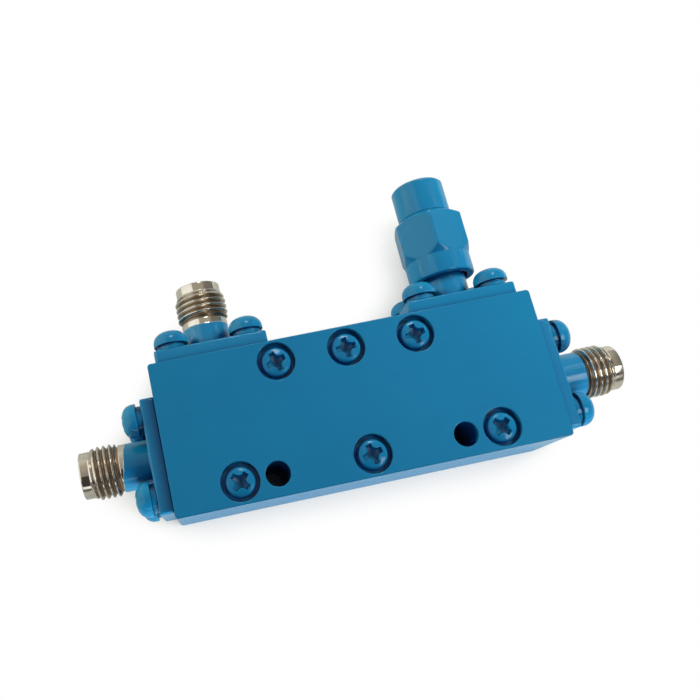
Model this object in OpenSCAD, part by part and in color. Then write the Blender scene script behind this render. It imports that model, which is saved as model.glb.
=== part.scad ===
// Directional coupler: a painted block with a stripline inside, four flange jacks and one screwed-on load.
// The base lies on z = 0 and its middle is the origin. The through line runs along x, the side ports leave along y.

/* [Block] */
// Length of the block along the through line
body_l = 46.65; // [45:0.05:54]
// Width of the block
body_w = 18.05; // [17.6:0.05:22]
// Height of the block with its cover
body_h = 12.4; // [11.8:0.1:15]
// Rounding of the upright corners
corner_r = 0.4; // [0.2:0.05:1]

/* [Cover screws] */
// Distance of both screw rows from the edge of the cover
screw_edge = 2.6; // [2.45:0.05:3]
// Distance between the outer screws of the row beside the side ports
upper_row_span = 16.95; // [14:0.05:17.4]
// Distance between the outer screws of the row beside the mounting holes
lower_row_span = 30.9; // [30.2:0.05:33]
// Thread diameter of every screw
screw_d = 2; // [1.6:0.05:2.2]
// Diameter of the counterbores
counterbore_d = 4.55; // [4.1:0.05:4.9]
// Depth of the counterbores
counterbore_depth = 1.3; // [1:0.05:1.4]
// Diameter of the cover screw heads
cover_head_d = 3.5; // [3.2:0.05:3.8]
// Height of the cover screw heads
cover_head_h = 1.3; // [1:0.05:1.4]
// Radius of the dome on a cover screw head
cover_dome_r = 6; // [4:0.5:8]
// Thread length of a cover screw inside the block
cover_screw_grip = 4; // [3:0.1:5]
// Length of the cross recess in a screw head
recess_l = 2.45; // [1.8:0.05:2.6]
// Width of the cross recess
recess_w = 0.85; // [0.5:0.05:0.9]
// Depth of the cross recess
recess_depth = 0.75; // [0.4:0.05:0.9]

/* [Mounting holes] */
// Distance between the two mounting holes
mount_span = 22.15; // [21.6:0.05:22.8]
// Diameter of the mounting holes
mount_hole_d = 2.9; // [2.6:0.05:3.3]

/* [Ports] */
// Place of the through line across the block
through_y = -1.4; // [-2:0.05:-0.5]
// Distance of the coupled and isolated ports from the middle
side_port_x = 15.55; // [15:0.05:16.2]
// Wall between a port's flange and the stripline pocket
port_wall = 2.4; // [2.2:0.05:3]
// Diameter of the hole for the contact tail in that wall
feed_d = 2.1; // [1.6:0.05:2.3]

/* [Jacks] */
// Length of a flange
flange_l = 13.6; // [13:0.05:14.2]
// Height of a flange
flange_h = 10.65; // [10:0.05:11.6]
// Thickness of a flange
flange_t = 1.7; // [1.4:0.05:2]
// Rounding of the flange corners
flange_r = 0.3; // [0.1:0.05:0.6]
// Distance between the screws along a flange
flange_screw_span = 9.2; // [8.8:0.05:9.6]
// Distance between the upper and the lower screws of a flange
flange_screw_rise = 7; // [6.6:0.05:7.4]
// Diameter of the round base on a flange
base_d = 5.7; // [5.5:0.05:6]
// Length of that round base
base_len = 3.75; // [3.4:0.05:4.2]
// Diameter of the relief groove between base and thread
groove_d = 5.3; // [5.1:0.05:5.5]
// Width of the relief groove
groove_len = 0.3; // [0.2:0.05:0.5]
// Outer diameter of the jack thread
thread_d = 6.35; // [6.1:0.05:6.5]
// Length of the jack thread
thread_len = 3.3; // [3:0.05:4]
// Chamfer at the start of the thread
thread_chamfer = 0.2; // [0.1:0.05:0.4]
// Length of the taper from the thread down to the nose
lead_len = 0.75; // [0.5:0.05:0.9]
// Diameter of the plain nose
nose_d = 5.55; // [5.3:0.05:5.7]
// Length of the nose
nose_len = 1.1; // [0.8:0.05:1.4]
// Diameter of the mouth that takes the plug
mouth_d = 4.6; // [4.5:0.01:4.8]
// Depth of the mouth down to the insulator
mouth_depth = 1.95; // [1.8:0.05:2.4]
// Diameter of the insulators
insulator_d = 4.1; // [3.6:0.05:4.2]
// Diameter of the centre contacts
contact_d = 1.27; // [1.2:0.01:1.5]
// Diameter of the socket in a contact
socket_d = 0.96; // [0.92:0.01:1]
// Depth of the socket in a contact
socket_depth = 3; // [2.8:0.1:3.4]
// Width of the slits in the socket
slit_w = 0.16; // [0.1:0.01:0.25]
// Length of the slits in the socket
slit_len = 1.8; // [1:0.1:2.4]
// Diameter of the contact tail in the block wall
tail_d = 0.9; // [0.7:0.05:1]

/* [Flange screws] */
// Diameter of the flange screw heads
flange_head_d = 4.15; // [3.7:0.05:4.4]
// Height of the flange screw heads
flange_head_h = 1.85; // [1.6:0.05:2]
// Radius of the dome on a flange screw head
flange_dome_r = 2.7; // [2.5:0.05:3]
// Thread length of a flange screw inside the block
flange_screw_grip = 3; // [2.4:0.1:3.4]
// Outer diameter of the split lock washers
washer_d = 3.4; // [3:0.05:3.6]
// Thickness of the lock washers
washer_t = 0.65; // [0.4:0.05:0.7]
// Opening of the split in a lock washer
washer_split = 0.4; // [0.2:0.05:0.6]

/* [Stripline] */
// Thickness of each dielectric board
board_t = 1.25; // [1.2:0.05:1.5]
// Thickness of the strips
strip_t = 0.1; // [0.05:0.01:0.15]
// Width of the strips
strip_w = 1.9; // [1.4:0.05:2.2]
// Gap between the through strip and the coupled strip
coupling_gap = 0.6; // [0.2:0.05:1]
// Length of the strip tab inside a contact tail
tab_len = 0.7; // [0.5:0.05:1]
// Width of that tab
tab_w = 0.8; // [0.6:0.05:0.9]
// Width of the pocket arms behind the coupled and isolated ports
arm_w = 5; // [4.4:0.1:5.6]
// Distance of the pocket from the lines of the screw rows
pocket_screw_gap = 1.9; // [1.7:0.05:2.2]
// Rounding of the pocket corners
pocket_r = 0.8; // [0.5:0.05:1.2]

/* [Load] */
// Hexagon of the coupling nut across its flats
hex_af = 8.3; // [7.9:0.05:8.7]
// Length of the hexagon
hex_len = 6.05; // [5.8:0.05:6.6]
// Turn of the hexagon about its axis
hex_turn = 50.5; // [0:0.1:60]
// Length of the chamfer at the collar, along a corner of the hexagon
hex_front_len = 1.15; // [0.5:0.05:1.5]
// Length of the chamfer at the back, along a corner of the hexagon
hex_back_len = 1; // [0.5:0.05:1.2]
// Diameter of the round back end of the hexagon
hex_end_d = 6.9; // [6.6:0.05:7.4]
// Diameter of the round collar of the nut
collar_d = 8.3; // [7.9:0.05:8.6]
// Length of the collar
collar_len = 2.65; // [2.4:0.05:2.9]
// Length of the nut beyond the end of the jack
nut_reach = 3.5; // [3.2:0.05:3.9]
// Diameter of the load body where the nut turns on it
hub_d = 5.9; // [5.7:0.05:6]
// Diameter of the cap at the end of the load
cap_d = 6.75; // [6.2:0.05:7]
// Length of the cap
cap_len = 4.55; // [4:0.05:5.2]
// Chamfer at the end of the cap
cap_chamfer = 0.35; // [0.2:0.05:0.6]
// Thickness of the gasket on the end of the jack
gasket_t = 0.5; // [0.3:0.05:0.7]
// Wire thickness of the retaining ring
ring_t = 0.5; // [0.4:0.05:0.6]
// Outer diameter of the retaining ring
ring_d = 6.6; // [6.4:0.05:6.8]
// Inner diameter of the retaining ring
ring_bore = 5.2; // [5:0.05:5.4]
// Opening of the split in the retaining ring
ring_split = 0.8; // [0.5:0.05:1.2]
// Diameter of the load pin in front
pin_d = 0.91; // [0.89:0.01:0.95]
// Length of the load pin in front of the bead
pin_reach = 2.3; // [1.9:0.1:2.6]
// Length of the bead
bead_len = 3.2; // [2.6:0.1:3.8]
// Diameter of the resistor rod
resistor_d = 2.4; // [1.8:0.05:2.8]
// Length of the resistor rod
resistor_len = 3.6; // [2.4:0.1:4]

/* [Hidden] */
$fn = 48;
// Play between nested round pieces
fit = 0.01;
// Play between pieces that move past each other when they are put together
slip = 0.05;
// Room left beyond a screw end or around a board
room = 0.15;
// Overrun of cuts past the faces that they open
over = 1;

// The strips lie at half height, and the cover starts on top of the upper board
axis_z = body_h / 2;
housing_h = axis_z + strip_t / 2 + board_t;
cover_t = body_h - housing_h;
pocket_floor = axis_z - strip_t / 2 - board_t;
row_y = body_w / 2 - screw_edge;
pocket_x = body_l / 2 - port_wall;
pocket_y = row_y - pocket_screw_gap;
arm_y = body_w / 2 - port_wall;
coupled_y = through_y + strip_w + coupling_gap;

// Heights along a jack and the load on it, measured from the seat of the flange
base_to = flange_t + base_len;
thread_from = base_to + groove_len;
thread_to = thread_from + thread_len;
jack_tip = thread_to + nose_len;
plug_seat = jack_tip - mouth_depth;
nut_back = jack_tip + nut_reach;
nut_front = nut_back - hex_len - collar_len;
hub_from = jack_tip + gasket_t;
cap_from = nut_back + slip;
cap_to = cap_from + cap_len;
bead_to = plug_seat + bead_len;
nut_bore = thread_d + 2 * slip;
nut_bore_to = hub_from + slip;
ring_from = (nut_bore_to + nut_back - ring_t) / 2;

// Each port is its place on the block and the direction in which it leaves
INPUT = [-body_l / 2, through_y, 180];
OUTPUT = [body_l / 2, through_y, 0];
COUPLED = [-side_port_x, body_w / 2, 90];
ISOLATED = [side_port_x, body_w / 2, 90];
PORTS = [INPUT, OUTPUT, COUPLED, ISOLATED];

COVER_SCREWS = [
    for (x = [-1, 0, 1]) [x * upper_row_span / 2, row_y],
    for (x = [-1, 0, 1]) [x * lower_row_span / 2, -row_y]
];
MOUNT_HOLES = [for (x = [-1, 1]) [x * mount_span / 2, -row_y]];
// Places of the four screws on a flange
FLANGE_SCREWS = [for (x = [-1, 1], y = [-1, 1]) [x * flange_screw_rise / 2, y * flange_screw_span / 2]];

paint = "steelblue";
steel = "darkkhaki";
plastic = "white";
gold = "goldenrod";
copper = "peru";

// Places children on a port, with z leaving the block and y along the flange
module at_port(port) {
    translate([port[0], port[1], axis_z])
        rotate([0, 0, port[2]])
            rotate([0, 90, 0])
                children();
}

// Rectangle with round corners, centred
module round_rect(l, w, r) {
    square([l - 2 * r, w], center = true);
    square([l, w - 2 * r], center = true);
    for (x = [-1, 1], y = [-1, 1])
        translate([x * (l / 2 - r), y * (w / 2 - r)])
            circle(r);
}

// Tube between two heights
module tube(outer, inner, from, to) {
    difference() {
        translate([0, 0, from])
            cylinder(d = outer, h = to - from);
        translate([0, 0, from - over])
            cylinder(d = inner, h = to - from + 2 * over);
    }
}

// Cuts for the flange screws of one port, from a depth below the flange seat up to a height above it
module flange_screw_holes(d, depth, height) {
    for (place = FLANGE_SCREWS)
        translate([place[0], place[1], -depth])
            cylinder(d = d, h = depth + height);
}

// Holes for the flange screws in the block: the lower ones lie in the housing, the upper ones in the cover
module tapped_holes() {
    for (port = PORTS)
        at_port(port)
            flange_screw_holes(screw_d + 2 * fit, flange_screw_grip + room, over);
}

// Outline of the stripline pocket, or of a board that is smaller by a gap all round
module pocket_outline(gap) {
    r = pocket_r - gap;
    round_rect(2 * (pocket_x - gap), 2 * (pocket_y - gap), r);
    for (x = [-1, 1])
        translate([x * side_port_x, (arm_y - gap) / 2])
            round_rect(arm_w - 2 * gap, arm_y - gap, r);
}

module cross_recess(top) {
    for (a = [0, 90])
        rotate([0, 0, a])
            translate([-recess_l / 2, -recess_w / 2, top - recess_depth])
                cube([recess_l, recess_w, recess_depth + over]);
}

module housing() {
    color(paint)
        difference() {
            linear_extrude(housing_h)
                round_rect(body_l, body_w, corner_r);
            translate([0, 0, pocket_floor])
                linear_extrude(housing_h - pocket_floor + over)
                    pocket_outline(0);
            for (port = PORTS)
                at_port(port)
                    translate([0, 0, -port_wall - over])
                        cylinder(d = feed_d, h = port_wall + 2 * over);
            tapped_holes();
            for (place = COVER_SCREWS)
                translate([place[0], place[1], housing_h - cover_screw_grip - room])
                    cylinder(d = screw_d + 2 * fit, h = cover_screw_grip + room + over);
            for (place = MOUNT_HOLES)
                translate([place[0], place[1], -over])
                    cylinder(d = mount_hole_d, h = housing_h + 2 * over);
        }
}

module cover() {
    color(paint)
        difference() {
            translate([0, 0, housing_h])
                linear_extrude(cover_t)
                    round_rect(body_l, body_w, corner_r);
            for (place = COVER_SCREWS)
                translate([place[0], place[1], body_h - counterbore_depth]) {
                    cylinder(d = counterbore_d, h = counterbore_depth + over);
                    translate([0, 0, -cover_t])
                        cylinder(d = screw_d + 2 * slip, h = cover_t + over);
                }
            for (place = MOUNT_HOLES)
                translate([place[0], place[1], housing_h - over])
                    cylinder(d = mount_hole_d, h = cover_t + 2 * over);
            tapped_holes();
        }
}

module cover_screws() {
    seat = body_h - counterbore_depth;
    grip = seat - housing_h + cover_screw_grip;
    color(paint)
        for (place = COVER_SCREWS)
            translate([place[0], place[1], seat])
                difference() {
                    union() {
                        intersection() {
                            cylinder(d = cover_head_d, h = cover_head_h);
                            translate([0, 0, cover_head_h - cover_dome_r])
                                sphere(r = cover_dome_r);
                        }
                        translate([0, 0, -grip])
                            cylinder(d = screw_d, h = grip + cover_head_h / 4);
                    }
                    cross_recess(cover_head_h);
                }
}

// Flange and turned barrel of a jack
module jack_shell(port) {
    color(steel)
        at_port(port)
            difference() {
                union() {
                    linear_extrude(flange_t)
                        round_rect(flange_h, flange_l, flange_r);
                    rotate_extrude()
                        polygon([
                            [0, 0],
                            [base_d / 2, 0],
                            [base_d / 2, base_to],
                            [groove_d / 2, base_to],
                            [groove_d / 2, thread_from],
                            [thread_d / 2 - thread_chamfer, thread_from],
                            [thread_d / 2, thread_from + thread_chamfer],
                            [thread_d / 2, thread_to - lead_len],
                            [nose_d / 2, thread_to],
                            [nose_d / 2, jack_tip],
                            [0, jack_tip]
                        ]);
                }
                translate([0, 0, plug_seat])
                    cylinder(d = mouth_d, h = mouth_depth + over);
                translate([0, 0, -over])
                    cylinder(d = insulator_d + 2 * fit, h = jack_tip + over);
                flange_screw_holes(screw_d + 2 * slip, over, flange_t + over);
            }
}

module jack_insulator(port) {
    color(plastic)
        at_port(port)
            tube(insulator_d, contact_d + 2 * fit, 0, plug_seat);
}

// Socket in front, tail behind, with a slot that takes the end of a strip
module jack_contact(port) {
    color(gold)
        at_port(port)
            difference() {
                union() {
                    cylinder(d = contact_d, h = plug_seat);
                    translate([0, 0, -port_wall])
                        cylinder(d = tail_d, h = port_wall + over);
                }
                translate([0, 0, plug_seat - socket_depth])
                    cylinder(d = socket_d, h = socket_depth + over);
                for (a = [0, 90])
                    rotate([0, 0, a])
                        translate([-slit_w / 2, -contact_d, plug_seat - slit_len])
                            cube([slit_w, 2 * contact_d, slit_len + over]);
                translate([-strip_t / 2, -tail_d, -port_wall - over])
                    cube([strip_t, 2 * tail_d, tab_len + over]);
            }
}

module input_shell() { jack_shell(INPUT); }
module input_insulator() { jack_insulator(INPUT); }
module input_contact() { jack_contact(INPUT); }
module output_shell() { jack_shell(OUTPUT); }
module output_insulator() { jack_insulator(OUTPUT); }
module output_contact() { jack_contact(OUTPUT); }
module coupled_shell() { jack_shell(COUPLED); }
module coupled_insulator() { jack_insulator(COUPLED); }
module coupled_contact() { jack_contact(COUPLED); }
module isolated_shell() { jack_shell(ISOLATED); }
module isolated_insulator() { jack_insulator(ISOLATED); }
module isolated_contact() { jack_contact(ISOLATED); }

module flange_washers() {
    color(paint)
        for (port = PORTS, place = FLANGE_SCREWS)
            at_port(port)
                translate([place[0], place[1], 0])
                    difference() {
                        tube(washer_d, screw_d + 2 * slip, flange_t, flange_t + washer_t);
                        translate([0, -washer_split / 2, flange_t - over])
                            cube([washer_d, washer_split, washer_t + 2 * over]);
                    }
}

module flange_screws() {
    seat = flange_t + washer_t;
    color(paint)
        for (port = PORTS, place = FLANGE_SCREWS)
            at_port(port)
                translate([place[0], place[1], seat])
                    difference() {
                        union() {
                            intersection() {
                                cylinder(d = flange_head_d, h = flange_head_h);
                                translate([0, 0, flange_head_h - flange_dome_r])
                                    sphere(r = flange_dome_r);
                            }
                            translate([0, 0, -seat - flange_screw_grip])
                                cylinder(d = screw_d, h = seat + flange_screw_grip + flange_head_h / 4);
                        }
                        cross_recess(flange_head_h);
                    }
}

module board(from) {
    color(plastic)
        translate([0, 0, from])
            linear_extrude(board_t)
                pocket_outline(room);
}

module lower_board() { board(pocket_floor); }
module upper_board() { board(housing_h - board_t); }

// Straight strip with a narrow tab at each end
module through_strip() {
    half = pocket_x - room;
    color(copper)
        translate([0, through_y, axis_z - strip_t / 2])
            linear_extrude(strip_t) {
                square([2 * half, strip_w], center = true);
                square([2 * (pocket_x + tab_len), tab_w], center = true);
            }
}

// Strip beside the through strip, turned out to the two side ports over mitred corners
module coupled_strip() {
    top = arm_y - room - coupled_y;
    half = side_port_x + strip_w / 2;
    low = -strip_w / 2;
    color(copper)
        translate([0, coupled_y, axis_z - strip_t / 2])
            linear_extrude(strip_t) {
                polygon([
                    [-half, top],
                    [-half, low + strip_w],
                    [-half + strip_w, low],
                    [half - strip_w, low],
                    [half, low + strip_w],
                    [half, top],
                    [half - strip_w, top],
                    [half - strip_w, low + strip_w],
                    [-half + strip_w, low + strip_w],
                    [-half + strip_w, top]
                ]);
                for (x = [-1, 1])
                    translate([x * side_port_x - tab_w / 2, top - strip_w])
                        square([tab_w, strip_w + room + tab_len]);
            }
}

// Hexagon between two heights, with a long chamfer from the collar and a steeper one at the back
module chamfered_hex(from, to) {
    corner = hex_af / 2 / cos(30);
    wide = corner + over;
    front = (wide - collar_d / 2) * hex_front_len / (corner - collar_d / 2);
    back = (wide - hex_end_d / 2) * hex_back_len / (corner - hex_end_d / 2);
    rotate([0, 0, 180 + hex_turn])
        intersection() {
            translate([0, 0, from])
                cylinder(r = corner, h = to - from, $fn = 6);
            // The turned profile starts between two corners
            rotate([0, 0, 20])
                rotate_extrude()
                    polygon([
                        [0, from],
                        [collar_d / 2, from],
                        [wide, from + front],
                        [wide, to - back],
                        [hex_end_d / 2, to],
                        [0, to]
                    ]);
        }
}

module load_nut() {
    color(paint)
        at_port(ISOLATED)
            difference() {
                union() {
                    translate([0, 0, nut_front]) {
                        cylinder(d = collar_d, h = collar_len);
                        cylinder(d = (nut_bore + hex_af) / 2, h = collar_len + over);
                    }
                    chamfered_hex(nut_front + collar_len, nut_back);
                }
                translate([0, 0, nut_front - over])
                    cylinder(d = nut_bore, h = nut_bore_to - nut_front + over);
                translate([0, 0, nut_front])
                    cylinder(d = hub_d + 2 * slip, h = nut_back - nut_front + over);
                translate([0, 0, ring_from - slip])
                    cylinder(d = ring_d + 2 * slip, h = ring_t + 2 * slip);
            }
}

// Plug sleeve in front, hub under the nut with its ring groove, cap behind
module load_body() {
    sleeve_d = mouth_d - 2 * slip;
    color(paint)
        at_port(ISOLATED)
            difference() {
                rotate_extrude()
                    polygon([
                        [0, plug_seat],
                        [sleeve_d / 2, plug_seat],
                        [sleeve_d / 2, hub_from],
                        [hub_d / 2, hub_from],
                        [hub_d / 2, ring_from - slip],
                        [ring_bore / 2 - slip, ring_from - slip],
                        [ring_bore / 2 - slip, ring_from + ring_t + slip],
                        [hub_d / 2, ring_from + ring_t + slip],
                        [hub_d / 2, cap_from],
                        [cap_d / 2, cap_from],
                        [cap_d / 2, cap_to - cap_chamfer],
                        [cap_d / 2 - cap_chamfer, cap_to],
                        [0, cap_to]
                    ]);
                translate([0, 0, plug_seat - over])
                    cylinder(d = insulator_d + 2 * fit, h = bead_len + over);
                translate([0, 0, bead_to - over])
                    cylinder(d = resistor_d + 2 * fit, h = resistor_len + over);
            }
}

module load_retaining_ring() {
    color(steel)
        at_port(ISOLATED)
            difference() {
                tube(ring_d, ring_bore, ring_from, ring_from + ring_t);
                translate([0, -ring_split / 2, ring_from - over])
                    cube([ring_d, ring_split, ring_t + 2 * over]);
            }
}

module load_gasket() {
    color("salmon")
        at_port(ISOLATED)
            tube(hub_d, mouth_d, jack_tip, hub_from);
}

module load_bead() {
    color(plastic)
        at_port(ISOLATED)
            tube(insulator_d, contact_d + 2 * fit, plug_seat, bead_to);
}

module load_pin() {
    color(gold)
        at_port(ISOLATED) {
            translate([0, 0, plug_seat - pin_reach])
                cylinder(d = pin_d, h = pin_reach + over);
            translate([0, 0, plug_seat])
                cylinder(d = contact_d, h = bead_len);
        }
}

module load_resistor() {
    color("dimgray")
        at_port(ISOLATED)
            translate([0, 0, bead_to])
                cylinder(d = resistor_d, h = resistor_len);
}

housing();
cover();
cover_screws();
input_shell();
input_insulator();
input_contact();
output_shell();
output_insulator();
output_contact();
coupled_shell();
coupled_insulator();
coupled_contact();
isolated_shell();
isolated_insulator();
isolated_contact();
flange_washers();
flange_screws();
lower_board();
upper_board();
through_strip();
coupled_strip();
load_nut();
load_body();
load_retaining_ring();
load_gasket();
load_bead();
load_pin();
load_resistor();
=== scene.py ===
"""Looks of a small painted directional coupler: block, flange jacks with cut threads, screws and load."""

import bmesh
import bpy
import numpy as np
from mathutils import Matrix


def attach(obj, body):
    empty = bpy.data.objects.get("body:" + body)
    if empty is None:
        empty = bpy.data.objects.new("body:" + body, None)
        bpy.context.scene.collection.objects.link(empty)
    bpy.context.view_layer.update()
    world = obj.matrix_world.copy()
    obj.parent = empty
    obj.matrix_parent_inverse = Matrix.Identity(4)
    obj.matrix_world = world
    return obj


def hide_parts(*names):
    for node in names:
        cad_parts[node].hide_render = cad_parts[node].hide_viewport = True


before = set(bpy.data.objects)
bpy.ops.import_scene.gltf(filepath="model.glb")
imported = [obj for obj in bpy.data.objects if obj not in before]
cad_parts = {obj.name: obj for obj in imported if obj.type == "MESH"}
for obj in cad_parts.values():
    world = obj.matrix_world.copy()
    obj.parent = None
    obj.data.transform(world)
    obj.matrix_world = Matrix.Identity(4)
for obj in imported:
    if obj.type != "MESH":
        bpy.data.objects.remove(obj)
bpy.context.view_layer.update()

MM = 0.001
TURN = 2 * np.pi

# Sizes of the part in millimetres, as the solids have them
BODY_L, BODY_W, BODY_H = 46.65, 18.05, 12.4
AXIS_Z = BODY_H / 2
THROUGH_Y, SIDE_PORT_X = -1.4, 15.55
ROW_Y, UPPER_ROW, LOWER_ROW = 6.425, 16.95, 30.9
COUNTERBORE_DEPTH, COVER_HEAD_D, COVER_HEAD_H, COVER_DOME_R, COVER_GRIP = 1.3, 3.5, 1.3, 6.0, 7.6
FLANGE_L, FLANGE_H, FLANGE_T, FLANGE_R = 13.6, 10.65, 1.7, 0.3
FLANGE_SCREW_SPAN, FLANGE_SCREW_RISE, WASHER_T = 9.2, 7.0, 0.65
FLANGE_HEAD_D, FLANGE_HEAD_H, FLANGE_GRIP = 4.15, 1.85, 5.35
SCREW_D = 2.0
BASE_D, BASE_TO, GROOVE_D, THREAD_FROM = 5.7, 5.45, 5.3, 5.75
THREAD_D, THREAD_LEN, THREAD_CHAMFER, LEAD_LEN, PITCH = 6.35, 3.3, 0.2, 0.75, 25.4 / 36
NOSE_D, JACK_TIP, MOUTH_D, PLUG_SEAT, BORE_D = 5.55, 10.15, 4.6, 8.2, 4.12
NUT_FRONT, COLLAR_TO, NUT_BACK = 4.95, 7.6, 13.65
COLLAR_D, HEX_AF, HEX_TURN, HEX_FRONT_LEN, HEX_BACK_LEN, HEX_END_D = 8.3, 8.3, 20.5, 1.15, 1.0, 6.9
NUT_BORE, NUT_BORE_TO, HUB_BORE = 6.45, 10.7, 6.0
RING_FROM, RING_TO, RING_IN_HUB, RING_IN_NUT = 11.875, 12.475, 5.1, 6.7
SLEEVE_D, HUB_FROM, HUB_D, BEAD_TO, RESISTOR_D, RESISTOR_TO = 4.5, 10.65, 5.9, 11.4, 2.42, 15.0
CAP_D, CAP_FROM, CAP_TO, CAP_CHAMFER = 6.75, 13.7, 18.25, 0.35

# Sizes that only the looks have, in millimetres
THREAD_DEPTH, ROW_GAP = 0.43, 0.01
PLATE_SOFT, PLATE_PAINT = 0.22, 0.12
FOOT_FILLET, BARREL_OVERLAP = 0.3, 0.2
CROSS_ARM, CROSS_HALF, CROSS_TAPER, CROSS_BLEND = 1.22, 0.5, 0.12, 0.42
CROSS_WALL, CROSS_DEPTH, CROSS_POINT_DEPTH, CROSS_POINT_R = 0.16, 0.6, 0.5, 0.9
HEAD_EDGE, SCREW_TIP = 0.05, 0.2
COVER_RIM, COVER_RIM_START = 0.3, 0.15
FLANGE_HEAD_SIDE, FLANGE_HEAD_POWER, FLANGE_CROSS = 0.25, 2.4, 0.8
HEX_EDGE, HEX_EDGE_BLEND, HEX_CONE_BLEND, HEX_END_EDGE = 0.04, 0.14, 0.12, 0.1
TINY_EDGE = 0.02

# Turn of each cover screw's cross in degrees, upper row first
COVER_CROSS_TURNS = [20, 5, 10, 45, 15, 40]

# Each port: where it leaves the block and its direction in quarter turns from +X
PORTS = {
    "input": ((-BODY_L / 2, THROUGH_Y), 2),
    "output": ((BODY_L / 2, THROUGH_Y), 0),
    "coupled": ((-SIDE_PORT_X, BODY_W / 2), 1),
    "isolated": ((SIDE_PORT_X, BODY_W / 2), 1),
}
WAYS = np.array([[1, 0], [0, 1], [-1, 0]])

# Each bare jack: where its paint ends from the block, the slant of that edge and its unevenness
PAINT_EDGES = {"input": (4.95, 0.16, 0.4), "output": (5.6, 0.0, 0.25), "coupled": (4.68, 0.0, 0.25)}


# Grids and meshes

def around(cols, shift=0.0):
    """Angles of the columns of a grid that closes on itself."""
    return (np.arange(cols) + shift) / cols * TURN


def widened(column, cols):
    """One value for each row, repeated over the columns of a grid."""
    return np.repeat(column[:, None], cols, axis=1)


def quads(rows, cols, start):
    """Corner numbers of the cells of a rows x cols grid that is closed round its second parameter."""
    index = start + np.arange(rows * cols).reshape(rows, cols)
    index = np.concatenate([index, index[:, :1]], axis=1)
    return np.stack([index[:-1, :-1], index[:-1, 1:], index[1:, 1:], index[1:, :-1]], -1).reshape(-1, 4)


def piece(name, grids, finish, nodes, sharp=40.0):
    """One object from grids of points in millimetres, each closed round its second parameter. Points that
    coincide at seams and poles become one, and the faces point outwards."""
    starts = np.cumsum([0] + [g.shape[0] * g.shape[1] for g in grids])
    points = np.concatenate([g.reshape(-1, 3) for g in grids]) * MM
    faces = np.concatenate([quads(*g.shape[:2], s) for g, s in zip(grids, starts)])
    mesh = bpy.data.meshes.new(name)
    mesh.from_pydata(points.tolist(), [], faces.tolist())
    shape = bmesh.new()
    shape.from_mesh(mesh)
    bmesh.ops.remove_doubles(shape, verts=shape.verts, dist=2e-7)
    bmesh.ops.dissolve_degenerate(shape, edges=shape.edges, dist=1e-8)
    bmesh.ops.recalc_face_normals(shape, faces=shape.faces)
    shape.to_mesh(mesh)
    shape.free()
    mesh.polygons.foreach_set("use_smooth", np.ones(len(mesh.polygons), bool))
    mesh.set_sharp_from_angle(angle=np.radians(sharp))
    mesh.materials.append(finish)
    made = bpy.data.objects.new(name, mesh)
    bpy.context.scene.collection.objects.link(made)
    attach(made, "root")
    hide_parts(*nodes)


def soft_corners(points, radii, steps=5):
    """A polyline of (height, radius) points with each inner corner replaced by the curve
    (1-t)^2 before + 2 t (1-t) corner + t^2 after, which starts and ends at the corner's own distance."""
    points = np.asarray(points, float)
    t = np.linspace(0, 1, steps)[:, None]
    out = [points[:1]]
    for before, corner, after, radius in zip(points, points[1:], points[2:], radii):
        reach = [min(radius, 0.49 * np.linalg.norm(p - corner)) for p in (before, after)]
        a, b = (corner + (p - corner) * r / max(np.linalg.norm(p - corner), 1e-9)
                for p, r in zip((before, after), reach))
        out.append((1 - t) ** 2 * a + 2 * t * (1 - t) * corner + t ** 2 * b)
    return np.concatenate(out + [points[-1:]])


def at_port(port, along, rise, reach):
    """Points of a port from their distance along the flange, above the axis, and out from the block."""
    (x, y), quarter = PORTS[port]
    out = WAYS[quarter]
    return np.stack([
        x + out[0] * reach - out[1] * along,
        y + out[1] * reach + out[0] * along,
        AXIS_Z + rise,
    ], -1)


def turned(port, heights, radii, cols):
    """Heights and radii turned about a port's axis: point = axis + radius (cos a, sin a). The radii are one
    for each height, or a grid over heights and angles."""
    a = around(cols)
    radii = np.broadcast_to(radii[:, None] if radii.ndim == 1 else radii, (len(heights), cols))
    return at_port(port, radii * np.cos(a), radii * np.sin(a), widened(heights, cols))


def smooth_min(a, b, k):
    """Lesser of two numbers, rounded over where they are within k of each other."""
    mix = np.clip(0.5 + 0.5 * (b - a) / k, 0, 1)
    return b * (1 - mix) + a * mix - k * mix * (1 - mix)


# Jacks

def thread_radius(reach, a):
    """Radius of the thread at a height above its start and an angle. The tooth is a triangle wave of the helix
    phase height / pitch - angle / turn with its crest and root cut flat; both ends are turned down at a slope."""
    phase = (reach / PITCH - a / TURN) % 1.0
    tooth = np.clip(1.3 * (1 - np.abs(2 * phase - 1)) - 0.12, 0, 1)
    tooth = 0.4 * tooth * tooth * (3 - 2 * tooth) + 0.6 * tooth
    crest, root = THREAD_D / 2, THREAD_D / 2 - THREAD_DEPTH
    start = crest - THREAD_CHAMFER + reach
    lead = NOSE_D / 2 + (THREAD_LEN - reach) * (crest - NOSE_D / 2) / LEAD_LEN
    return np.minimum(root + (crest - root) * tooth, np.minimum(start, lead))


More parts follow.
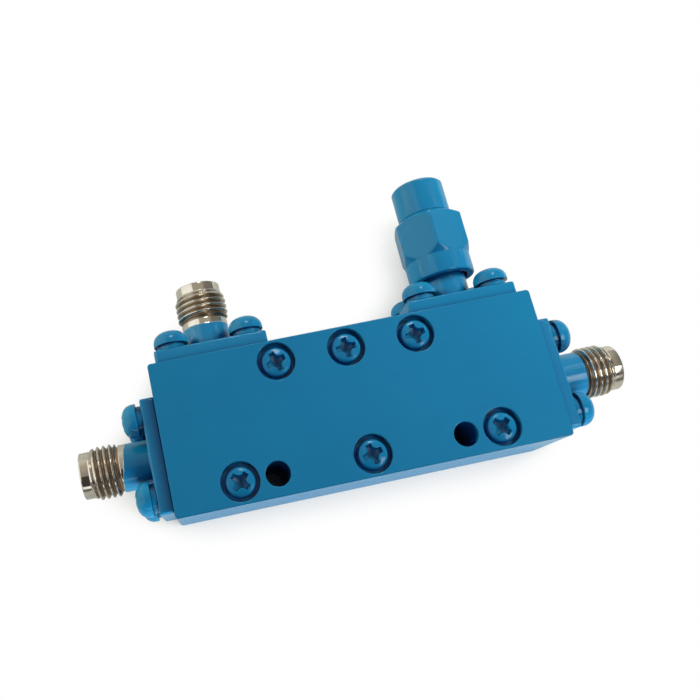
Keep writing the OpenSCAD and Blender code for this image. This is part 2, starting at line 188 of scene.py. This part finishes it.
def flange_plate(port):
    """A plate with round corners and soft edges. Its outline is a rounded rectangle drawn in by an amount that
    follows a quarter circle near both faces, and each face closes on the axis."""
    soft, cols = PLATE_SOFT, 120
    a = around(cols, 0.5)
    corner_r = FLANGE_R + PLATE_PAINT
    cx = np.sign(np.cos(a)) * (FLANGE_L / 2 - corner_r)
    cy = np.sign(np.sin(a)) * (FLANGE_H / 2 - corner_r)
    bend = np.linspace(0, np.pi / 2, 5)
    inset = np.concatenate([[corner_r], soft * (1 - np.sin(bend)), soft * (1 - np.cos(bend)), [corner_r]])
    level = np.concatenate([[FLANGE_T], FLANGE_T - soft * (1 - np.cos(bend)), soft * (1 - np.sin(bend)), [0.0]])
    r = corner_r - inset[:, None]
    along = cx + r * np.cos(a)
    rise = cy + r * np.sin(a)
    reach = widened(level, cols)
    closed = lambda grid: np.concatenate([grid[:1] * 0, grid, grid[-1:] * 0])
    reach = np.concatenate([reach[:1], reach, reach[-1:]])
    return at_port(port, closed(along), closed(rise), reach)


def jack(port, finish):
    """Flange, base with a fillet, relief groove, helical thread, nose, mouth and bore of one jack. The barrel is
    one closed loop of rows, so that each row meets the next."""
    cols = 160
    base_r, groove_r, nose_r, mouth_r, bore_r = (d / 2 for d in (BASE_D, GROOVE_D, NOSE_D, MOUTH_D, BORE_D))
    sunk = FLANGE_T - BARREL_OVERLAP
    bend = np.linspace(0, np.pi / 2, 7)
    foot = np.stack([
        FLANGE_T + FOOT_FILLET * (1 - np.cos(bend)),
        base_r + FOOT_FILLET * (1 - np.sin(bend)),
    ], -1)
    shoulder = soft_corners(
        [(FLANGE_T + FOOT_FILLET, base_r), (BASE_TO, base_r), (BASE_TO + 0.03, groove_r),
         (THREAD_FROM - ROW_GAP, groove_r)],
        [0.14, 0.03])
    nose = soft_corners(
        [(THREAD_FROM + THREAD_LEN + ROW_GAP, nose_r), (JACK_TIP, nose_r), (JACK_TIP, mouth_r),
         (PLUG_SEAT, mouth_r), (PLUG_SEAT, bore_r), (sunk, bore_r)],
        [0.16, 0.14, 0.05, TINY_EDGE])
    before = np.concatenate([[(sunk, bore_r), (sunk, base_r + FOOT_FILLET)], foot, shoulder])
    climb = np.linspace(0, THREAD_LEN, 141)
    thread = thread_radius(climb[:, None], around(cols))
    heights = np.concatenate([before[:, 0], THREAD_FROM + climb, nose[:, 0]])
    radii = np.concatenate([widened(before[:, 1], cols), thread, widened(nose[:, 1], cols)])
    grids = [flange_plate(port), turned(port, heights, radii, cols)]
    piece(port + "_jack", grids, finish, [port + "_shell"])


# Screws

def cross_depth(rho, a, angle):
    """Depth of a cross recess at a radius and an angle: two crossed bars that narrow outwards, joined by a smooth
    minimum so that their inner corners are hollow, sloping inwards and deepest in the middle."""
    x, y = rho * np.cos(a - angle), rho * np.sin(a - angle)
    bar = lambda u, v: np.maximum(np.abs(u) - CROSS_ARM, np.abs(v) - CROSS_HALF + CROSS_TAPER * np.abs(u))
    edge = smooth_min(bar(x, y), bar(y, x), CROSS_BLEND)
    sink = np.clip(-edge / CROSS_WALL, 0, 1)
    depth = CROSS_DEPTH + CROSS_POINT_DEPTH * np.clip(1 - rho / CROSS_POINT_R, 0, 1)
    return sink * sink * (3 - 2 * sink) * depth


def screw(rho, top, head_d, angle, grip, cols, cross=1.0):
    """Heights and offsets of a screw from its top to its end, from the radii and heights of its head, the turn
    of its cross, its length under the head and the scale of its cross."""
    a = around(cols)
    upper = top[:, None] - cross * cross_depth(rho[:, None] / cross, a, angle)
    lower = np.array([
        [HEAD_EDGE, head_d / 2], [0.0, head_d / 2 - HEAD_EDGE], [0.0, SCREW_D / 2],
        [-grip + SCREW_TIP, SCREW_D / 2], [-grip, SCREW_D / 2 - SCREW_TIP], [-grip, 0.0],
    ])
    heights = np.concatenate([upper, widened(lower[:, 0], cols)])
    radii = np.concatenate([rho, lower[:, 1]])[:, None]
    return heights, radii * np.cos(a), radii * np.sin(a)


def cover_screw(x, y, angle):
    """Flat head: a cap of a large sphere whose rim falls off over a quarter circle."""
    rim, half = COVER_RIM, COVER_HEAD_D / 2
    bend = np.linspace(COVER_RIM_START, np.pi / 2, 8)
    rho = np.concatenate([np.linspace(0, half - rim, 54), half - rim * (1 - np.sin(bend))])
    past = np.clip((rho - half + rim) / rim, 0, 1)
    fall = COVER_DOME_R - np.sqrt(COVER_DOME_R ** 2 - rho ** 2)
    top = COVER_HEAD_H - fall - rim * (1 - np.sqrt(1 - past ** 2 * 0.9999))
    heights, dx, dy = screw(rho, top, COVER_HEAD_D, angle, COVER_GRIP, 176)
    return np.stack([x + dx, y + dy, BODY_H - COUNTERBORE_DEPTH + heights], -1)


def flange_screw(port, side, level, angle):
    """Full round head: height = h (1 - (radius / half)^n)^(1/n) above a short upright side."""
    half, foot, n = FLANGE_HEAD_D / 2, FLANGE_HEAD_SIDE, FLANGE_HEAD_POWER
    rho = half * np.sin(np.linspace(0, np.pi / 2, 40))
    top = foot + (FLANGE_HEAD_H - foot) * np.clip(1 - (rho / half) ** n, 0, 1) ** (1 / n)
    heights, along, rise = screw(rho, top, FLANGE_HEAD_D, angle, FLANGE_GRIP, 100, FLANGE_CROSS)
    return at_port(
        port,
        side * FLANGE_SCREW_SPAN / 2 + along,
        level * FLANGE_SCREW_RISE / 2 + rise,
        FLANGE_T + WASHER_T + heights)


def screws(recess_shaded_finish, head_finish):
    """The six cover screws as one piece and the sixteen flange screws as another, with crosses at odd turns."""
    rows = ((UPPER_ROW, ROW_Y), (LOWER_ROW, -ROW_Y))
    spots = [(x * span / 2, y) for span, y in rows for x in (-1, 0, 1)]
    sunk = [cover_screw(x, y, a) for (x, y), a in zip(spots, np.radians(COVER_CROSS_TURNS))]
    piece("cover_screw_set", sunk, recess_shaded_finish, ["cover_screws"])
    heads = [flange_screw(port, side, level, 0.5 + 0.7 * side + 0.3 * level + 0.4 * len(port))
             for port in PORTS for side in (-1, 1) for level in (-1, 1)]
    piece("flange_screw_set", heads, head_finish, ["flange_screws"])


# Load

def load_nut(finish):
    """Collar and hexagon as one closed loop of rows. The hexagon's radius is the least of
    half / cos(angle to the nearest flat) and the two chamfer cones, blended over a short distance."""
    cols = 240
    collar_r, hub_r, groove_r, bore_r, end_r = (d / 2 for d in (COLLAR_D, HUB_BORE, RING_IN_NUT, NUT_BORE, HEX_END_D))
    collar = soft_corners(
        [(NUT_BACK, hub_r), (RING_TO, hub_r), (RING_TO, groove_r), (RING_FROM, groove_r), (RING_FROM, hub_r),
         (NUT_BORE_TO, hub_r), (NUT_BORE_TO, bore_r), (NUT_FRONT, bore_r), (NUT_FRONT, collar_r),
         (COLLAR_TO - ROW_GAP, collar_r)],
        [TINY_EDGE] * 6 + [0.15, 0.28])
    half = HEX_AF / 2
    corner = half / np.cos(TURN / 12)
    reach = np.concatenate([
        np.linspace(COLLAR_TO, COLLAR_TO + 1.3, 27),
        np.linspace(COLLAR_TO + 1.6, NUT_BACK - 1.4, 6),
        np.linspace(NUT_BACK - 1.1, NUT_BACK, 23),
    ])
    flat = (around(cols) - np.radians(HEX_TURN) - np.pi / 2 + TURN / 12) % (TURN / 6) - TURN / 12
    hexagon = smooth_min(half / np.cos(flat), corner - HEX_EDGE, HEX_EDGE_BLEND)
    front = collar_r + (reach - COLLAR_TO) * (corner - collar_r) / HEX_FRONT_LEN
    back = end_r + (NUT_BACK - reach) * (corner - end_r) / HEX_BACK_LEN
    sides = smooth_min(hexagon[None, :], np.minimum(front, back)[:, None], HEX_CONE_BLEND)
    end = np.array([(NUT_BACK, end_r - HEX_END_EDGE), (NUT_BACK, hub_r)])
    heights = np.concatenate([collar[:, 0], reach, end[:, 0]])
    radii = np.concatenate([widened(collar[:, 1], cols), sides, widened(end[:, 1], cols)])
    grids = [turned("isolated", heights, radii, cols)]
    piece("load_nut_painted", grids, finish, ["load_nut"], sharp=50)


def load_cap(finish):
    """Plug sleeve, hub with its ring groove and cap of the load as one turned profile, hollow for bead and
    resistor."""
    rod_r, bore_r, sleeve_r, hub_r, groove_r, cap_r = (
        d / 2 for d in (RESISTOR_D, BORE_D, SLEEVE_D, HUB_D, RING_IN_HUB, CAP_D))
    profile = soft_corners(
        [(RESISTOR_TO, 0), (RESISTOR_TO, rod_r), (BEAD_TO, rod_r), (BEAD_TO, bore_r), (PLUG_SEAT, bore_r),
         (PLUG_SEAT, sleeve_r), (HUB_FROM, sleeve_r), (HUB_FROM, hub_r), (RING_FROM, hub_r), (RING_FROM, groove_r),
         (RING_TO, groove_r), (RING_TO, hub_r), (CAP_FROM, hub_r), (CAP_FROM, cap_r), (CAP_TO - CAP_CHAMFER, cap_r),
         (CAP_TO, cap_r - CAP_CHAMFER), (CAP_TO, 0)],
        [TINY_EDGE] * 5 + [0.05] * 2 + [TINY_EDGE] * 5 + [0.1, 0.07, 0.07])
    piece("load_cap_painted", [turned("isolated", *profile.T, 128)], finish, ["load_body"], sharp=35)


# Finishes

class Value:
    """A shader socket that takes part in sums and products: each operator adds one Math node."""

    def __init__(self, finish, socket):
        self.finish, self.socket = finish, socket

    def math(self, operation, a, b=0.0, clamp=False):
        return self.finish.node("ShaderNodeMath", {"operation": operation, "use_clamp": clamp}, {0: a, 1: b})

    def __add__(self, other):
        return self.math("ADD", self, other)

    def __radd__(self, other):
        return self.math("ADD", other, self)

    def __sub__(self, other):
        return self.math("SUBTRACT", self, other)

    def __rsub__(self, other):
        return self.math("SUBTRACT", other, self)

    def __mul__(self, other):
        return self.math("MULTIPLY", self, other)

    def __rmul__(self, other):
        return self.math("MULTIPLY", other, self)

    def __truediv__(self, other):
        return self.math("DIVIDE", self, other)

    def clamped(self):
        return self.math("MULTIPLY", self, 1.0, clamp=True)

    def root(self):
        return self.math("SQRT", self)


class Finish:
    """The node tree of a material or a world, written as expressions. Its place is in millimetres in the part's
    frame, or a direction in the case of a world."""

    def __init__(self, owner, coordinates="Object", scale=1000.0):
        owner.use_nodes = True
        self.owner, self.tree = owner, owner.node_tree
        self.tree.nodes.clear()
        place = self.node("ShaderNodeTexCoord", out=coordinates)
        self.place = self.node("ShaderNodeVectorMath", {"operation": "SCALE"}, {0: place, "Scale": scale})

    def node(self, kind, settings=None, inputs=None, out=0):
        """Any node: its settings are set first, then the values or links of its sockets."""
        node = self.tree.nodes.new(kind)
        for key, value in (settings or {}).items():
            if key == "stops":
                while len(node.color_ramp.elements) < len(value):
                    node.color_ramp.elements.new(1.0)
                for stop, (position, colour) in zip(node.color_ramp.elements, value):
                    stop.position, stop.color = position, (*colour, 1.0)
            else:
                setattr(node, key, value)
        for key, value in (inputs or {}).items():
            if isinstance(value, Value):
                self.tree.links.new(value.socket, node.inputs[key])
            else:
                node.inputs[key].default_value = value
        return Value(self, node.outputs[out])

    def noise(self, scale, detail):
        return self.node("ShaderNodeTexNoise", None, {"Vector": self.place, "Scale": scale, "Detail": detail})

    def axis(self, vector, offset=0.0):
        """Distance along a direction."""
        dot = self.node("ShaderNodeVectorMath", {"operation": "DOT_PRODUCT"}, {0: self.place, 1: vector}, "Value")
        return dot + offset

    def ramp(self, value, stops):
        return self.node("ShaderNodeValToRGB", {"stops": stops}, {0: value})

    def mix(self, factor, a, b):
        """Colour between a and b."""
        return self.node("ShaderNodeMix", {"data_type": "RGBA"}, {0: factor, 6: a, 7: b}, 2)

    def mix_shader(self, factor, a, b):
        """Shader between a and b."""
        return self.node("ShaderNodeMixShader", None, {0: factor, 1: a, 2: b})

    def ray(self, kind):
        """One where the light path's ray is of a kind, such as Is Camera Ray, and else zero."""
        return self.node("ShaderNodeLightPath", out=kind)

    def bump(self, height, strength, distance, normal=None):
        inputs = {"Height": height, "Strength": strength, "Distance": distance * MM}
        if normal:
            inputs["Normal"] = normal
        return self.node("ShaderNodeBump", None, inputs)

    def surface(self, shader):
        """Ends the tree in a shader and returns what it belongs to."""
        kind = "World" if isinstance(self.owner, bpy.types.World) else "Material"
        output = self.tree.nodes.new("ShaderNodeOutput" + kind)
        self.tree.links.new(shader.socket, output.inputs["Surface"])
        return self.owner

    def shade(self, **inputs):
        """Ends the tree in a Principled shader with inputs by name."""
        named = {key.replace("_", " ").title().replace("Ior", "IOR"): value for key, value in inputs.items()}
        return self.surface(self.node("ShaderNodeBsdfPrincipled", None, named))


def srgb(r, g, b):
    """Linear colour from the usual 0 to 255 values."""
    c = np.array([r, g, b]) / 255
    return (*np.where(c <= 0.04045, c / 12.92, ((c + 0.055) / 1.055) ** 2.4).tolist(), 1.0)


PAINT_LIGHT, PAINT_DEEP = srgb(15, 120, 179), srgb(12, 106, 169)
# Painted shade colours: one for crevices, one for the recesses of the cover screws and the gap round their heads
PAINT_CREVICE_SHADE, PAINT_RECESS_SHADE = srgb(5, 46, 84), srgb(6, 40, 66)
# The third metal colour is painted shade for the roots of the thread
METAL_LIGHT, METAL_STAINED, METAL_ROOT_SHADE = srgb(235, 231, 223), srgb(208, 201, 185), srgb(122, 93, 58)
BLOCK_ROUGH, TURNED_ROUGH, PEEL_ROUGH, PEEL_SCALE = 0.17, 0.12, 0.08, 1.6
# Strength of the painted crevice shade, stronger on the washers, and how far in millimetres ambient occlusion looks
# for it
CREVICE_SHADE_AMOUNT, CREVICE_SHADE_WASHERS, CREVICE_SHADE_REACH = 1.4, 2.6, 1.6
# Height below which the cover screws get painted shade
RECESS_SHADE_FROM = BODY_H - 0.42


def paint_colour(finish, crevice_shade=0.0):
    """Enamel blue with a slow drift of tint and faint thin spots, with painted shade in crevices and hollows, darker
    where ambient occlusion finds surfaces nearby.
    """
    drift = finish.noise(0.09, 2.0)
    cloud = finish.noise(0.6, 3.0)
    colour = finish.mix((drift * 0.7 + cloud * 0.3), PAINT_DEEP, PAINT_LIGHT)
    if not crevice_shade:
        return colour
    # painted shade: the blue turns darker in crevices and hollows, where ambient occlusion finds surfaces nearby
    open_air = finish.node("ShaderNodeAmbientOcclusion", {"samples": 8}, {"Distance": CREVICE_SHADE_REACH * MM}, "AO")
    return finish.mix(((0.8 - open_air) * crevice_shade).clamped(), colour, PAINT_CREVICE_SHADE)


def enamel(name, edges, rough=BLOCK_ROUGH, hollow=None, crevice_shade=0.0):
    """Sprayed enamel: orange peel and softened edges, with painted shade below the height of a hollow and painted
    shade in crevices.
    """
    finish = Finish(bpy.data.materials.new(name))
    peel = finish.noise(PEEL_SCALE, 2.0)
    fine = finish.noise(7.0, 2.0)
    corner = finish.node("ShaderNodeBevel", {"samples": 6}, {"Radius": edges * MM})
    skin = finish.bump(peel * 0.8 + fine * 0.2, 0.25, 0.02, corner)
    gloss = rough + (peel - 0.5) * PEEL_ROUGH
    colour = paint_colour(finish, crevice_shade)
    if hollow:
        # painted shade below a height: darker and rougher in the recesses of the cover screws and round the sides of
        # their heads
        recess_shade = (finish.axis((0, 0, -1), hollow) / 0.5).clamped()
        colour = finish.mix(recess_shade * 0.65, colour, PAINT_RECESS_SHADE)
        gloss = gloss + recess_shade * 0.3
    return finish.shade(base_color=colour, roughness=gloss, normal=skin, specular_ior_level=0.35)


def enamelled_jack(name, port, edge, slant, wobble):
    """Bare turned metal with painted shade in the roots of its thread, and enamel with painted crevice shade up to an
    uneven edge at a distance from the block; slant is how far that edge moves out for each millimetre along the
    flange."""
    finish = Finish(bpy.data.materials.new(name))
    (x, y), quarter = PORTS[port]
    out = WAYS[quarter].tolist()
    reach = finish.axis((out[0], out[1], 0), -(out[0] * x + out[1] * y))
    along = finish.axis((-out[1], out[0], 0), out[1] * x - out[0] * y)
    rise = finish.axis((0, 0, 1), -AXIS_Z)
    radius = (along * along + rise * rise).root()
    ragged = finish.noise(0.9, 3.0) - 0.5
    painted = ((edge - reach + along * slant + ragged * wobble) / 0.12 + 0.5).clamped()
    rings = finish.node("ShaderNodeTexNoise", {"noise_dimensions": "1D"},
                        {"W": reach * 9.0, "Scale": 1.0, "Detail": 3.0})
    stain = finish.noise(0.7, 3.0)
    thread_end = THREAD_FROM + THREAD_LEN - 0.3
    # painted shade in the roots of the thread, which are also rougher
    root = ((THREAD_D / 2 - radius) / 0.35).clamped() * ((reach - BASE_TO) / 0.05).clamped() \
        * ((thread_end - reach) / 0.1).clamped()
    bare = finish.mix((stain * 1.3 - 0.15).clamped(), METAL_LIGHT, METAL_STAINED)
    metal = finish.mix(root * 0.72, bare, METAL_ROOT_SHADE)
    peel = finish.noise(PEEL_SCALE, 2.0)
    # the enamel on the jack carries painted crevice shade
    colour = finish.mix(painted, metal, paint_colour(finish, CREVICE_SHADE_AMOUNT))
    height = rings * (1 - painted) * 0.08 + painted + peel * painted * 0.2
    paint_rough = BLOCK_ROUGH + (peel - 0.5) * PEEL_ROUGH
    metal_rough = 0.05 + stain * 0.06 + rings * 0.04 + root * 0.25
    return finish.shade(
        base_color=colour,
        metallic=1 - painted,
        roughness=painted * paint_rough + (1 - painted) * metal_rough,
        normal=finish.bump(height, 0.5, 0.03))


def speckled(name, light, dark, scale, rough, metallic=0.0, grain=0.02):
    """Plain material with a fine drift of tint, gloss and surface."""
    finish = Finish(bpy.data.materials.new(name))
    drift = finish.noise(scale, 3.0)
    fine = finish.noise(scale * 6, 2.0)
    return finish.shade(
        base_color=finish.mix(drift, dark, light),
        roughness=rough + (fine - 0.5) * 0.15,
        metallic=metallic,
        normal=finish.bump(fine, 0.3, grain))


def cover_node(name, finish):
    """Gives a node of the solids a finish."""
    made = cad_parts[name]
    made.data.materials.clear()
    made.data.materials.append(finish)


# Camera, lamps, room and floor

def camera():
    """Camera with the picture's focal length, place and turn, in the part's frame. The picture's axis lies off
    its middle, which the shift follows."""
    right, down, ahead = np.array([
        [0.97802, -0.20702, 0.02499],
        [-0.19292, -0.94378, -0.26843],
        [0.07916, 0.25771, -0.96297],
    ])
    focal, cx, cy, side, sensor = 838.57, 243.79, 343.7, 700.0, 36.0
    spot = (-19.542, -16.148, 94.858 + BODY_H)
    lens = bpy.data.cameras.new("photo_camera")
    lens.sensor_width = sensor
    lens.lens = focal / side * sensor
    lens.shift_x, lens.shift_y = (side / 2 - cx) / side, (cy - side / 2) / side
    lens.clip_start, lens.clip_end = 0.001, 20.0
    made = bpy.data.objects.new("photo_camera", lens)
    turn = np.eye(4)
    turn[:3, :3] = np.stack([right, -down, -ahead], axis=1)
    turn[:3, 3] = np.array(spot) * MM
    made.matrix_world = Matrix(turn.tolist())
    bpy.context.scene.collection.objects.link(made)
    bpy.context.scene.camera = made


def soft_box(name, place, target, size, power, colour, mirrored):
    """Area lamp of a width and a length that faces a target, seen in mirrors or only as soft light."""
    lamp = bpy.data.lights.new(name, "AREA")
    lamp.shape, lamp.energy, lamp.color = "RECTANGLE", power, colour
    lamp.size, lamp.size_y = size
    made = bpy.data.objects.new(name, lamp)
    back = np.array(place, float) - np.array(target, float)
    back /= np.linalg.norm(back)
    right = np.cross((0.0, 1.0, 0.001), back)
    right /= np.linalg.norm(right)
    turn = np.eye(4)
    turn[:3, :3] = np.stack([right, np.cross(back, right), back], axis=1)
    turn[:3, 3] = place
    made.matrix_world = Matrix(turn.tolist())
    made.visible_glossy = mirrored
    bpy.context.scene.collection.objects.link(made)


def mirrored_room(room):
    """Colours that mirrors show: beige behind, dark with a pale strip in front, grey on the right, white on the
    left, and one small bright window high behind."""
    x, y, z = (room.axis(way) for way in ((1, 0, 0), (0, 1, 0), (0, 0, 1)))
    behind = room.ramp(z, [
        (0.0, (0.5, 0.49, 0.47)), (0.35, (0.54, 0.5, 0.43)), (0.75, (0.36, 0.33, 0.26)),
        (0.93, (0.33, 0.3, 0.25)), (1.0, (0.25, 0.23, 0.19))])
    front = room.ramp(z, [
        (0.0, (0.16, 0.16, 0.16)), (0.27, (0.12, 0.12, 0.11)), (0.3, (1.0, 1.0, 1.0)),
        (0.46, (1.0, 1.0, 1.0)), (0.49, (0.035, 0.03, 0.03)), (1.0, (0.05, 0.045, 0.04))])
    colour = room.mix(((-0.12 - y) / 0.04).clamped(), behind, front)
    colour = room.mix(((x - 0.4) / 0.2).clamped(), colour, (0.17, 0.16, 0.145, 1.0))
    on_left = ((-0.4 - x) / 0.03).clamped() * ((y + 0.45) / 0.08).clamped()
    colour = room.mix(on_left, colour, (0.92, 0.92, 0.88, 1.0))
    window = ((room.axis((0.18, 0.62, 0.76)) - 0.985) / 0.006).clamped()
    return room.mix(window, colour, (7.0, 7.0, 6.8, 1.0))


def surroundings():
    """World that is white to the camera, a plain pale light to surfaces and a room to mirrors."""
    world = bpy.data.worlds.new("studio")
    bpy.context.scene.world = world
    room = Finish(world, "Generated", 1.0)
    light = lambda **inputs: room.node("ShaderNodeBackground", None, inputs)
    plain = light(Color=(0.82, 0.91, 1.0, 1.0), Strength=0.16)
    gloss = light(Color=mirrored_room(room), Strength=1.25)
    white = light(Color=(1.0, 1.0, 1.0, 1.0))
    lit = room.mix_shader(room.ray("Is Glossy Ray"), plain, gloss)
    seen = room.node("ShaderNodeMath", {"operation": "MAXIMUM"},
                     {0: room.ray("Is Camera Ray"), 1: room.ray("Is Transmission Ray")})
    room.surface(room.mix_shader(seen, lit, white))


def pale_floor():
    """Floor that is white to the camera except near the part, where it keeps the soft shadow, and duller in
    mirrors."""
    ground = Finish(bpy.data.materials.new("pale_floor"))
    pale, dull = (ground.node("ShaderNodeBsdfDiffuse", None, {"Color": colour})
                  for colour in ((0.86, 0.86, 0.86, 1.0), (0.4, 0.4, 0.41, 1.0)))
    matt = ground.mix_shader(ground.ray("Is Glossy Ray"), pale, dull)
    near = ground.node("ShaderNodeAmbientOcclusion", None, {"Distance": 0.008}, "AO")
    open_air = ((near - 0.12) / 0.6).clamped()
    part = (ground.ray("Is Camera Ray") + ground.ray("Is Glossy Ray") * 0.3) * open_air
    finish = ground.surface(ground.mix_shader(part, matt, ground.node("ShaderNodeEmission")))
    half, below = 1.5, 2e-5
    across, along = np.meshgrid((-half, half), (-half, half))
    points = np.stack([across, along, np.full_like(across, -below)], -1).reshape(-1, 3)
    mesh = bpy.data.meshes.new("floor")
    mesh.from_pydata(points.tolist(), [], [(0, 1, 3, 2)])
    mesh.materials.append(finish)
    floor = bpy.data.objects.new("floor", mesh)
    bpy.context.scene.collection.objects.link(floor)


camera()
surroundings()
soft_box("key", (0.135, -0.09, 0.216), (0, 0, 0), (0.07, 0.12), 0.14, (1.0, 1.0, 0.94), True)
soft_box("right", (0.11, 0.06, 0.09), (0.01, 0.01, 0), (0.06, 0.06), 0.23, (1.0, 1.0, 0.7), False)
soft_box("left", (-0.19, 0.1, 0.03), (0, 0.01, 0), (0.15, 0.05), 0.61, (1.0, 1.0, 0.62), False)
soft_box("front", (0.0, -0.2, 0.008), (0, 0, 0.006), (0.12, 0.012), 0.66, (1.0, 1.0, 0.76), False)
pale_floor()

# Painted pieces and jacks
blue = enamel("blue_enamel", 0.2)
for name in ("housing", "cover"):
    cover_node(name, blue)
# the washers get strong painted shade in the hollow under the screw heads
cover_node("flange_washers", enamel("blue_enamel_crevice_shade", 0.1, crevice_shade=CREVICE_SHADE_WASHERS))

# turned pieces get painted shade in their crevices
turned_blue = enamel("blue_enamel_turned", 0.05, TURNED_ROUGH, crevice_shade=CREVICE_SHADE_AMOUNT)
# cover screws get painted shade in their recesses and round their heads
screws(enamel("blue_enamel_recess_shade", 0.05, TURNED_ROUGH, RECESS_SHADE_FROM), turned_blue)
for port, paint_edge in PAINT_EDGES.items():
    jack(port, enamelled_jack(port + "_jack_metal", port, *paint_edge))
jack("isolated", turned_blue)
load_nut(turned_blue)
load_cap(turned_blue)

# Inner parts, which keep their solids
plastic = speckled("white_plastic", srgb(236, 235, 230), srgb(214, 212, 204), 0.8, 0.5)
gold = speckled("gold_plate", srgb(226, 186, 104), srgb(196, 150, 72), 0.9, 0.25, 1.0, 0.01)
copper = speckled("etched_copper", srgb(206, 132, 92), srgb(170, 98, 64), 0.7, 0.3, 1.0, 0.01)
steel = speckled("spring_steel", srgb(176, 172, 164), srgb(140, 136, 128), 0.9, 0.28, 1.0, 0.01)
laminate = speckled("glass_laminate", srgb(226, 220, 200), srgb(204, 196, 172), 1.4, 0.55)
rubber = speckled("red_silicone", srgb(176, 74, 58), srgb(146, 54, 42), 1.0, 0.6)
film = speckled("resistor_film", srgb(66, 62, 58), srgb(40, 38, 36), 1.2, 0.45)
for port in PORTS:
    cover_node(port + "_insulator", plastic)
    cover_node(port + "_contact", gold)
for finish, names in (
    (plastic, ["load_bead"]),
    (gold, ["load_pin"]),
    (steel, ["load_retaining_ring"]),
    (rubber, ["load_gasket"]),
    (film, ["load_resistor"]),
    (laminate, ["lower_board", "upper_board"]),
    (copper, ["through_strip", "coupled_strip"]),
):
    for name in names:
        cover_node(name, finish)

bpy.context.scene.view_settings.view_transform = "Standard"
